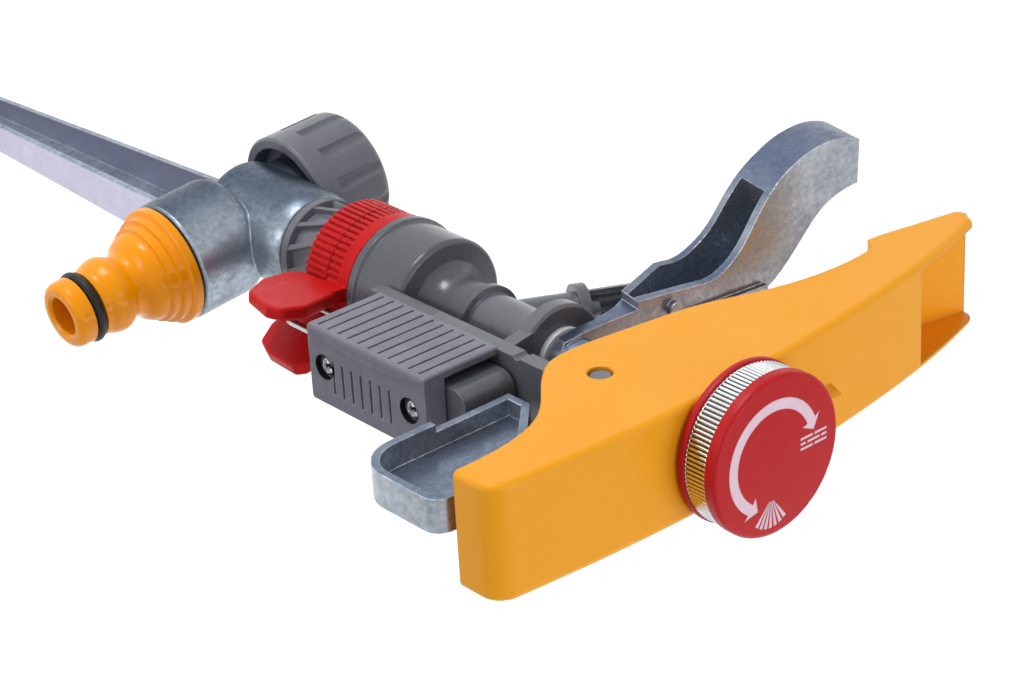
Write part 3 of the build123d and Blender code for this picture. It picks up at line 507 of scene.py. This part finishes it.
def spun(profile: Sequence[Pair], steps: int, closed: bool = True) -> bmesh.types.BMesh:
    """Spin a profile about the Z axis.

    Args:
        profile: radius and height of each point, in millimetres.
        steps: how many divisions the turn has.
        closed: whether the profile's last point joins its first.

    Returns:
        The shape in metres, with its normals outwards.
    """
    mesh = bmesh.new()
    verts = [mesh.verts.new((r * MM, 0, z * MM)) for r, z in profile]
    pairs = list(zip(verts, verts[1:] + verts[:1] if closed else verts[1:]))
    edges = [mesh.edges.new(pair) for pair in pairs]
    bmesh.ops.spin(mesh, geom=verts + edges, cent=(0, 0, 0), axis=(0, 0, 1), angle=math.tau, steps=steps,
                   use_merge=True)
    bmesh.ops.remove_doubles(mesh, verts=mesh.verts, dist=0.001 * MM)
    bmesh.ops.recalc_face_normals(mesh, faces=mesh.faces)
    return mesh


def plate(outline: Iterable[Pair], low: float, high: float) -> bmesh.types.BMesh:
    """Raise a flat outline into a plate.

    Args:
        outline: the points in the XY plane, in millimetres.
        low: height of its underside, in millimetres.
        high: height of its face, in millimetres.

    Returns:
        The plate in metres.
    """
    mesh = bmesh.new()
    face = mesh.faces.new([mesh.verts.new((x * MM, y * MM, low * MM)) for x, y in outline])
    raised = bmesh.ops.extrude_face_region(mesh, geom=[face], use_keep_orig=True)
    tops = [item for item in raised["geom"] if isinstance(item, bmesh.types.BMVert)]
    bmesh.ops.translate(mesh, verts=tops, vec=(0, 0, (high - low) * MM))
    bmesh.ops.recalc_face_normals(mesh, faces=mesh.faces)
    return mesh


def at(radius: float, degrees: float) -> Pair:
    """Give the point at a radius and an azimuth."""
    turn = math.radians(degrees)
    return radius * math.cos(turn), radius * math.sin(turn)


def join(meshes: Iterable[bmesh.types.BMesh]) -> bmesh.types.BMesh:
    """Gather several shapes into one, and free the others.

    Args:
        meshes: the shapes, each freed here.

    Returns:
        All of them as one shape.
    """
    whole = bmesh.new()
    for mesh in meshes:
        data = bpy.data.meshes.new("gathered")
        mesh.to_mesh(data)
        mesh.free()
        whole.from_mesh(data)
        bpy.data.meshes.remove(data)
    return whole


@dataclass
class Base(Piece):
    """Cast spike with its riser, hose nose, end cap and bearing nut."""

    def build(self) -> None:
        """Dress every node of the base and its cap."""
        self.dress("spike_casting", Finishes.spike_zinc)
        self.dress("hose_nose", Finishes.orange)
        self.dress("nose_o_ring", Finishes.rubber)
        self.dress("nose_washer", Finishes.rubber)
        self.dress("end_cap", Finishes.dark)
        self.dress("cap_washer", Finishes.rubber)
        self.dress("bearing_nut", Finishes.dark)


@dataclass
class Collars(Piece):
    """The two set collars whose tabs turn the trip over."""

    def build(self) -> None:
        """Dress both collars."""
        self.dress("lower_collar", Finishes.red)
        self.dress("upper_collar", Finishes.red)


@dataclass
class Head(Piece):
    """Turning head with its bearing, nozzle, trip housing and pins.

    The screws of the trip cover face -X, each in a round seat. Sizes are in millimetres and turns in
    degrees.
    """

    seat_x: float = -34.4
    seat_r: float = 2.75
    sunk_x: float = -33.6
    seat_shade_x: float = -35.1
    seat_shade_gap: float = 0.07
    seat_shade_wall: float = 0.06
    seat_shade_lift: float = 0.02
    screw_x: float = -34.5
    screw_r: float = 1.95
    screw_rise: float = 0.5
    screw_wall: float = 0.45
    screw_turn: float = 20.0
    # A head starts as a grid of so many cells a side, and falls to its rim as this power of the radius
    cells: int = 14
    dome: float = 2.5
    recess: float = 0.9
    cross_half: float = 0.32
    cross_reach: float = 1.3
    screw_places: tuple[Pair, ...] = ((0.1, 128.3), (0.0, 154.5))

    def build(self) -> None:
        """Dress the head's nodes, put painted shade in its screw seats and add its crossed screw heads."""
        self.dress("head_body", Finishes.grey)
        self.dress("bearing_tube", Finishes.steel)
        self.dress("bearing_washers", Finishes.pale)
        self.dress("bearing_spring", Finishes.steel, WOUND_CREASE)
        self.dress("nozzle_tip", Finishes.dark)
        self.cover()
        self.dress("trip_pin", Finishes.steel)
        self.dress("trip_spring", Finishes.steel, WOUND_CREASE)
        self.dress("arm_washer", Finishes.pale)
        self.dress("arm_spring", Finishes.steel, WOUND_CREASE)
        self.dress("fulcrum_pin", Finishes.steel)
        self.dress("hood_pin", Finishes.dark)
        self.dress("trip_lever", Finishes.grey)
        self.dress("trip_wire", Finishes.steel, WOUND_CREASE)
        # Painted shade in the screw seats, as near-black cups
        self.seat_shade_cups()
        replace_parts(self.screws(), "cover_screws")

    def cover(self) -> bpy.types.Object:
        """Dress the cover, with the seats of its screws sunk as deep as the mould has them.

        Returns:
            The cover.
        """
        mesh = self.copy("trip_cover")
        for vert in mesh.verts:
            near = min(math.hypot(vert.co.y - y * MM, vert.co.z - z * MM) for y, z in self.screw_places)
            if abs(vert.co.x - self.seat_x * MM) < 0.02 * MM and near < self.seat_r * MM:
                vert.co.x = self.sunk_x * MM
        return self.stand_in("trip_cover", mesh, Finishes.box_grey)

    def seat_shade_cup(self, y: float, z: float) -> bmesh.types.BMesh:
        """Make the painted shade of one screw seat, as a near-black thin cup open to -X.

        Args:
            y: its place along Y, in millimetres.
            z: its place along Z, in millimetres.

        Returns:
            The cup in metres.
        """
        rim, wall = self.seat_r - self.seat_shade_gap, self.seat_shade_wall
        floor_x = self.sunk_x - self.seat_shade_lift
        deep = floor_x - self.seat_shade_x
        profile = [(0.0, 0.0), (rim, 0.0), (rim, deep), (rim - wall, deep), (rim - wall, wall), (0.0, wall)]
        mesh = spun(profile, 48, False)
        bmesh.ops.transform(mesh, matrix=Matrix.Rotation(math.radians(-90), 4, "Y"), verts=mesh.verts)
        bmesh.ops.translate(mesh, verts=mesh.verts, vec=(floor_x * MM, y * MM, z * MM))
        return mesh

    def seat_shade_cups(self) -> bpy.types.Object:
        """Put painted shade in both screw seats, as one piece."""
        mesh = join(self.seat_shade_cup(*where) for where in self.screw_places)
        return self.place("painted_seat_shade", mesh, Finishes.seat_shade_black, "head", slot_of_node("trip_cover"))

    def screw(self, y: float, z: float) -> bmesh.types.BMesh:
        """Make one crossed pan-head screw, facing -X.

        Args:
            y: its place along Y, in millimetres.
            z: its place along Z, in millimetres.

        Returns:
            The screw in metres.
        """
        rim = self.screw_r
        mesh = bmesh.new()
        bmesh.ops.create_grid(mesh, x_segments=self.cells, y_segments=self.cells, size=rim * MM)
        for vert in mesh.verts:
            if vert.co.length > rim * 1.001 * MM:
                vert.co = vert.co.normalized() * rim * MM
        bmesh.ops.remove_doubles(mesh, verts=mesh.verts, dist=0.05 * MM)
        for vert in mesh.verts:
            across = vert.co.length / (rim * MM)
            arm = min(abs(vert.co.x), abs(vert.co.y))
            reach = max(abs(vert.co.x), abs(vert.co.y))
            sunk = arm < self.cross_half * MM and reach < self.cross_reach * MM
            vert.co.z = (self.screw_rise * (1 - across ** self.dome) - self.recess * sunk) * MM
        rims = [edge for edge in mesh.edges if edge.is_boundary]
        walls = bmesh.ops.extrude_edge_only(mesh, edges=rims)
        low = [item for item in walls["geom"] if isinstance(item, bmesh.types.BMVert)]
        bmesh.ops.translate(mesh, verts=low, vec=(0, 0, -self.screw_wall * MM))
        bmesh.ops.holes_fill(mesh, edges=[edge for edge in mesh.edges if edge.is_boundary], sides=0)
        bmesh.ops.recalc_face_normals(mesh, faces=mesh.faces)
        turn = Matrix.Rotation(math.radians(self.screw_turn), 4, "Z")
        bmesh.ops.transform(mesh, matrix=Matrix.Rotation(math.radians(-90), 4, "Y") @ turn, verts=mesh.verts)
        rim_x = self.screw_x + self.screw_wall
        bmesh.ops.translate(mesh, verts=mesh.verts, vec=(rim_x * MM, y * MM, z * MM))
        return mesh

    def screws(self) -> bpy.types.Object:
        """Make both screws of the cover as one piece."""
        mesh = join(self.screw(*where) for where in self.screw_places)
        return self.place("crossed_screws", mesh, Finishes.screw_zinc, "head", slot_of_node("cover_screws"),
                          crease=25)


@dataclass
class Arm(Piece):
    """Impact arm with its spoon and tray."""

    def build(self) -> None:
        """Dress the arm."""
        self.dress("impact_arm", Finishes.zinc)


@dataclass
class Hood(Piece):
    """Hood over the jet, with its swivelling nut."""

    # Half its width, the height above which its edges are rounded, and the rounding, in millimetres
    half: float = 12.0
    low: float = 191.0
    rounding: float = 1.3
    steps: int = 5
    # Cosines of the normals that tell a side from a top, and a top from an underside
    side_cosine: float = 0.9
    top_cosine: float = 0.5
    under_cosine: float = -0.3

    def build(self) -> None:
        """Round and dress the hood, and dress the nut."""
        mesh = self.copy("hood")
        self.soften(mesh)
        self.stand_in("hood", mesh, Finishes.yellow)
        self.dress("spindle_nut", Finishes.brass)

    def outer(self, edge: bmesh.types.BMEdge) -> bool:
        """Tell whether an edge lies between a side and the hood's top or end.

        Args:
            edge: the edge.

        Returns:
            Whether it is rounded.
        """
        on_side = all(abs(abs(vert.co.y) - self.half * MM) < 0.01 * MM and vert.co.z > self.low * MM
                      for vert in edge.verts)
        if not on_side or len(edge.link_faces) != 2:
            return False
        normals = [face.normal for face in edge.link_faces]
        tops = [way for way in normals if abs(way.y) < self.top_cosine and way.z > self.under_cosine]
        return len(tops) == 1 and any(abs(way.y) > self.side_cosine for way in normals)

    def soften(self, mesh: bmesh.types.BMesh) -> None:
        """Round the hood's outer edges, as its mould has them.

        Args:
            mesh: the hood, changed in place.
        """
        bmesh.ops.dissolve_limit(mesh, angle_limit=math.radians(0.5), verts=mesh.verts, edges=mesh.edges)
        mesh.normal_update()
        sharp = [edge for edge in mesh.edges if self.outer(edge)]
        made = bmesh.ops.bevel(mesh, geom=sharp, offset=self.rounding * MM, offset_type="OFFSET",
                               segments=self.steps, profile=0.5, affect="EDGES", material=-1,
                               clamp_overlap=False)
        strip = set(made["faces"])
        for edge in mesh.edges:
            edge.seam = sum(face in strip for face in edge.link_faces) == 1
        log.info("hood: %d edges rounded", len(sharp))


@dataclass
class Knob(Piece):
    """Knob with its knurled ring and its printed face. Sizes are in millimetres and turns in degrees."""

    # Divisions of a turned piece
    steps: int = 144
    outer: float = 16.0
    inner: float = 13.6
    rim: float = 16.3
    spindle: float = 2.6
    base_low: float = 208.2
    ring_low: float = 209.9
    ring_high: float = 215.1
    ring_chamfer: float = 0.25
    teeth: int = 108
    tooth: float = 0.5
    # Share of a tooth's depth that is cut away at each of the points that draw it
    tooth_cuts: tuple[float, ...] = (1.0, 0.6, 0.0, 0.6)
    valley_share: float = 0.7
    valley_gap: float = 0.1
    face_z: float = 218.0
    foot_round: float = 0.5
    brim_round: float = 0.4
    bulge: float = 0.3
    face_round: float = 0.9
    chamfer: float = 0.3
    ink_thick: float = 0.04
    ink_sunk: float = 0.02
    arc_in: float = 9.0
    arc_out: float = 11.1
    barb: float = 1.3
    arc_from: float = 22.0
    arc_to: float = 233.0
    arc_steps: int = 60
    head_turn: float = 12.0
    overlap: float = 1.0
    dash_half: float = 0.25
    fan_at: Pair = (-0.8, -7.7)
    rays: int = 7
    ray_first: float = 229.0
    ray_step: float = 12.3
    ray_ends: Pair = (0.7, 5.9)
    ray_halves: Pair = (0.05, 0.42)
    print_scale: float = 1.055
    print_shift: Pair = (-0.8, 0.1)

    def build(self) -> None:
        """Dress the knob, knurl its ring and print its face."""
        self.base()
        self.cap()
        self.dress("knob_spindle", Finishes.steel)
        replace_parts(self.ring(), "knob_ring")
        # Painted shade in the ring's valleys
        self.valley_shade()
        self.prints()

    def base(self) -> bpy.types.Object:
        """Make the red base with its rounded rim.

        Returns:
            The base.
        """
        low, high, rim, bore = self.base_low, self.ring_low, self.rim, self.spindle
        foot, brim = self.foot_round, self.brim_round
        profile = [(bore, low), (rim - foot, low), (rim - foot * self.bulge, low + foot * self.bulge),
                   (rim, low + foot), (rim, high - brim),
                   (rim - brim * self.bulge, high - brim * self.bulge), (rim - brim, high), (bore, high)]
        return self.stand_in("knob_base", spun(profile, self.steps), Finishes.knob_red, TURNED_CREASE)

    def cap(self) -> bpy.types.Object:
        """Make the red face with its rounded rim.

        Returns:
            The face cap.
        """
        low, high, rim, bore = self.ring_high, self.face_z, self.rim, self.spindle
        middle_r, middle_z = rim - self.face_round, high - self.face_round
        bend = [(middle_r + r, middle_z + z) for r, z in (at(self.face_round, 15 * i) for i in range(7))]
        profile = [(0.0, self.ring_low), (bore, self.ring_low), (bore, low), (rim - self.chamfer, low),
                   (rim, low + self.chamfer), *bend, (0.0, high)]
        return self.stand_in("knob_cap", spun(profile, self.steps, False), Finishes.knob_red, TURNED_CREASE)

    def valley_shade(self) -> bpy.types.Object:
        """Make the painted shade on the floor of the ring's valleys.

        Returns:
            The painted shade, a band all the way round.
        """
        back, floor = self.inner + self.valley_gap, self.outer - self.valley_share * self.tooth
        low, high = self.ring_low + self.valley_gap, self.ring_high - self.valley_gap
        band = spun([(back, low), (floor, low), (floor, high), (back, high)], self.steps)
        return self.place("ring_valley_shade", band, Finishes.valley_shade_chrome, "knob", slot_of_node("knob_ring"),
                          TURNED_CREASE)

    def ring(self) -> bpy.types.Object:
        """Make the grip ring with its straight teeth.

        Returns:
            The ring.
        """
        low, high, edge = self.ring_low, self.ring_high, self.ring_chamfer
        profile = [(self.inner, low), (self.outer - edge, low), (self.outer, low + edge),
                   (self.outer, high - edge), (self.outer - edge, high), (self.inner, high)]
        points = self.teeth * len(self.tooth_cuts)
        mesh = spun(profile, points)
        rim = (self.outer - edge / 2) * MM
        for vert in mesh.verts:
            flat = Vector((vert.co.x, vert.co.y, 0))
            step = round(math.atan2(vert.co.y, vert.co.x) / math.tau * points) % len(self.tooth_cuts)
            if flat.length > rim:
                vert.co -= flat.normalized() * self.tooth_cuts[step] * self.tooth * MM
        return self.place("knurled_ring", mesh, Finishes.chrome, "knob", slot_of_node("knob_ring"), crease=20)

    def arrow(self) -> list[Pair]:
        """Give the outline of the arc with an arrowhead at each end.

        Returns:
            The points of the outline.
        """
        sweep = self.arc_to - self.arc_from
        turns = [self.arc_from + sweep * i / self.arc_steps for i in range(self.arc_steps + 1)]
        middle = (self.arc_in + self.arc_out) / 2
        wide, narrow = self.arc_out + self.barb, self.arc_in - self.barb
        outer = [at(self.arc_out, turn) for turn in turns]
        inner = [at(self.arc_in, turn) for turn in reversed(turns)]
        end, start = self.arc_to - self.overlap, self.arc_from + self.overlap
        end_head = [at(wide, end), at(middle, self.arc_to + self.head_turn), at(narrow, end)]
        start_head = [at(narrow, start), at(middle, self.arc_from - self.head_turn), at(wide, start)]
        return outer + end_head + inner + start_head

    def dashes(self) -> list[list[Pair]]:
        """Give the outlines of the dashed lines that stand for a narrow jet.

        Returns:
            The outline of each dash.
        """
        half = self.dash_half
        # Each line's Y, and the start and end of its dashes along X
        outer_runs = ((6.6, 9.7), (10.1, 13.2))
        rows = {0.85: outer_runs, -0.15: ((6.6, 7.9), (8.3, 11.4), (11.8, 13.2)), -1.15: outer_runs}
        return [[(a, y - half), (b, y - half), (b, y + half), (a, y + half)]
                for y, runs in rows.items() for a, b in runs]

    def fan(self) -> list[list[Pair]]:
        """Give the outlines of the rays that stand for a spread spray.

        Returns:
            The outline of each ray, which widens outwards.
        """
        start = Vector(self.fan_at)
        narrow, wide = self.ray_halves
        rays = []
        for i in range(self.rays):
            way = Vector(at(1.0, self.ray_first + self.ray_step * i))
            side = Vector((-way.y, way.x))
            near, far = (start + way * reach for reach in self.ray_ends)
            rays.append([tuple(near - side * narrow), tuple(far - side * wide), tuple(far + side * wide),
                         tuple(near + side * narrow)])
        return rays

    def prints(self) -> bpy.types.Object:
        """Print the three signs on the face.

        Returns:
            The signs as one piece.
        """
        low, high = self.face_z - self.ink_sunk, self.face_z + self.ink_thick
        mesh = join(plate(outline, low, high) for outline in [self.arrow(), *self.dashes(), *self.fan()])
        bmesh.ops.triangulate(mesh, faces=[face for face in mesh.faces if len(face.verts) > 4])
        bmesh.ops.scale(mesh, vec=(self.print_scale, self.print_scale, 1.0), verts=mesh.verts)
        bmesh.ops.translate(mesh, vec=Vector((*self.print_shift, 0.0)) * MM, verts=mesh.verts)
        return self.place("face_signs", mesh, Finishes.ink, "knob", slot_of_node("knob_cap"))


@dataclass(frozen=True)
class Lamp:
    """A square soft lamp: its offset from its aim and its side in metres, and its power in watts."""

    name: str
    offset: Vector
    size: float
    watts: float

    def hang(self, aim: Vector) -> None:
        """Hang the lamp.

        Args:
            aim: the point that it faces, in metres.
        """
        data = bpy.data.lights.new(self.name, "AREA")
        data.size = self.size
        data.energy = self.watts
        made = bpy.data.objects.new(self.name, data)
        bpy.context.scene.collection.objects.link(made)
        made.location = aim + self.offset
        made.rotation_euler = (-self.offset).to_track_quat("-Z", "Y").to_euler()


@dataclass
class Studio:
    """Pale floor, soft lamps and the camera, whose place is in metres and whose axes are unit vectors."""

    eye: Vector
    right: Vector
    down: Vector
    look: Vector
    lens: float = 100.87
    shift: Pair = (0.0095, 0.0175)
    # The floor's height in millimetres, half its side in metres, its own glow and that of the surround
    floor_z: float = -180.5
    floor_half: float = 6.0
    floor_glow: float = 0.6
    surround: float = 0.42

    def build(self) -> None:
        """Set up the camera, world, floor and lamps."""
        self.camera()
        self.world()
        self.floor()
        aim = Vector((0, 0, 0.14))
        up = -self.down
        for lamp in (Lamp("key", up * 0.75 - self.look * 0.35 - self.right * 0.25, 0.3, 3.8),
                     Lamp("overhead", Vector((0.1, -0.05, 0.9)), 0.6, 3.5),
                     Lamp("fill", -self.right * 0.7 - self.look * 0.5, 0.3, 1.35),
                     Lamp("back", Vector((0.3, -0.85, 0.35)), 0.8, 1.6)):
            lamp.hang(aim)
        bpy.context.scene.view_settings.view_transform = "Standard"

    def camera(self) -> None:
        """Place the camera at the photograph's viewpoint."""
        data = bpy.data.cameras.new("camera")
        data.lens = self.lens
        data.sensor_width = 36.0
        data.shift_x, data.shift_y = self.shift
        data.clip_start, data.clip_end = 0.01, 20.0
        made = bpy.data.objects.new("camera", data)
        bpy.context.scene.collection.objects.link(made)
        axes = Matrix((self.right, -self.down, -self.look)).transposed()
        made.matrix_world = Matrix.Translation(self.eye) @ axes.to_4x4()
        bpy.context.scene.camera = made

    def white_to_camera(self, tree: bpy.types.NodeTree) -> bpy.types.NodeSocket:
        """Pick the rays that see the background, straight or in a mirror or glass.

        Args:
            tree: the node tree of the floor or world.

        Returns:
            1 for those rays, and 0 for the others.
        """
        path = add_node(tree, "ShaderNodeLightPath")
        seen = path.outputs["Is Camera Ray"]
        for kind in ("Is Glossy Ray", "Is Transmission Ray"):
            seen = add_node(tree, "ShaderNodeMath", {0: seen, 1: path.outputs[kind]},
                            operation="MAXIMUM").outputs[0]
        return seen

    def world(self) -> None:
        """Make an even pale surround, which the camera sees as white."""
        world = bpy.data.worlds.new("surround")
        world.use_nodes = True
        bpy.context.scene.world = world
        tree = world.node_tree
        tree.nodes.clear()
        level = add_node(tree, "ShaderNodeMapRange", {
            "Value": self.white_to_camera(tree), "To Min": self.surround, "To Max": 1.0}).outputs["Result"]
        glow = add_node(tree, "ShaderNodeBackground", {"Color": (1, 1, 1, 1), "Strength": level})
        add_node(tree, "ShaderNodeOutputWorld", {"Surface": glow.outputs["Background"]})

    def floor(self) -> None:
        """Make the floor, whose own glow lifts it to white outside the shadow."""
        mesh = bmesh.new()
        bmesh.ops.create_grid(mesh, x_segments=1, y_segments=1, size=self.floor_half)
        bmesh.ops.translate(mesh, verts=mesh.verts, vec=(0, 0, self.floor_z * MM))
        data = bpy.data.meshes.new("floor")
        mesh.to_mesh(data)
        mesh.free()
        material = bpy.data.materials.new("painted_board")
        material.use_nodes = True
        tree = material.node_tree
        tree.nodes.clear()
        matt = add_node(tree, "ShaderNodeBsdfDiffuse", {"Color": (0.8, 0.8, 0.8, 1)})
        level = add_node(tree, "ShaderNodeMath", {0: self.white_to_camera(tree), 1: self.floor_glow},
                         operation="MULTIPLY").outputs[0]
        glow = add_node(tree, "ShaderNodeEmission", {"Color": (1, 1, 1, 1), "Strength": level})
        both = add_node(tree, "ShaderNodeAddShader", {0: matt.outputs[0], 1: glow.outputs[0]})
        add_node(tree, "ShaderNodeOutputMaterial", {"Surface": both.outputs[0]})
        data.materials.append(material)
        made = bpy.data.objects.new("floor", data)
        bpy.context.scene.collection.objects.link(made)


def main() -> None:
    """Build every sub-assembly and the studio."""
    logging.basicConfig(level=logging.INFO)
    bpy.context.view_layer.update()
    finishes = Finishes()
    for kind in (Base, Collars, Head, Arm, Hood, Knob):
        kind(finishes).build()
    Studio(eye=Vector((-0.3310, 0.2580, 0.5381)), right=Vector((0.7492, -0.0530, 0.6602)),
           down=Vector((-0.3374, -0.8882, 0.3117)), look=Vector((0.5699, -0.4563, -0.6834))).build()


if __name__ == "__main__":
    main()
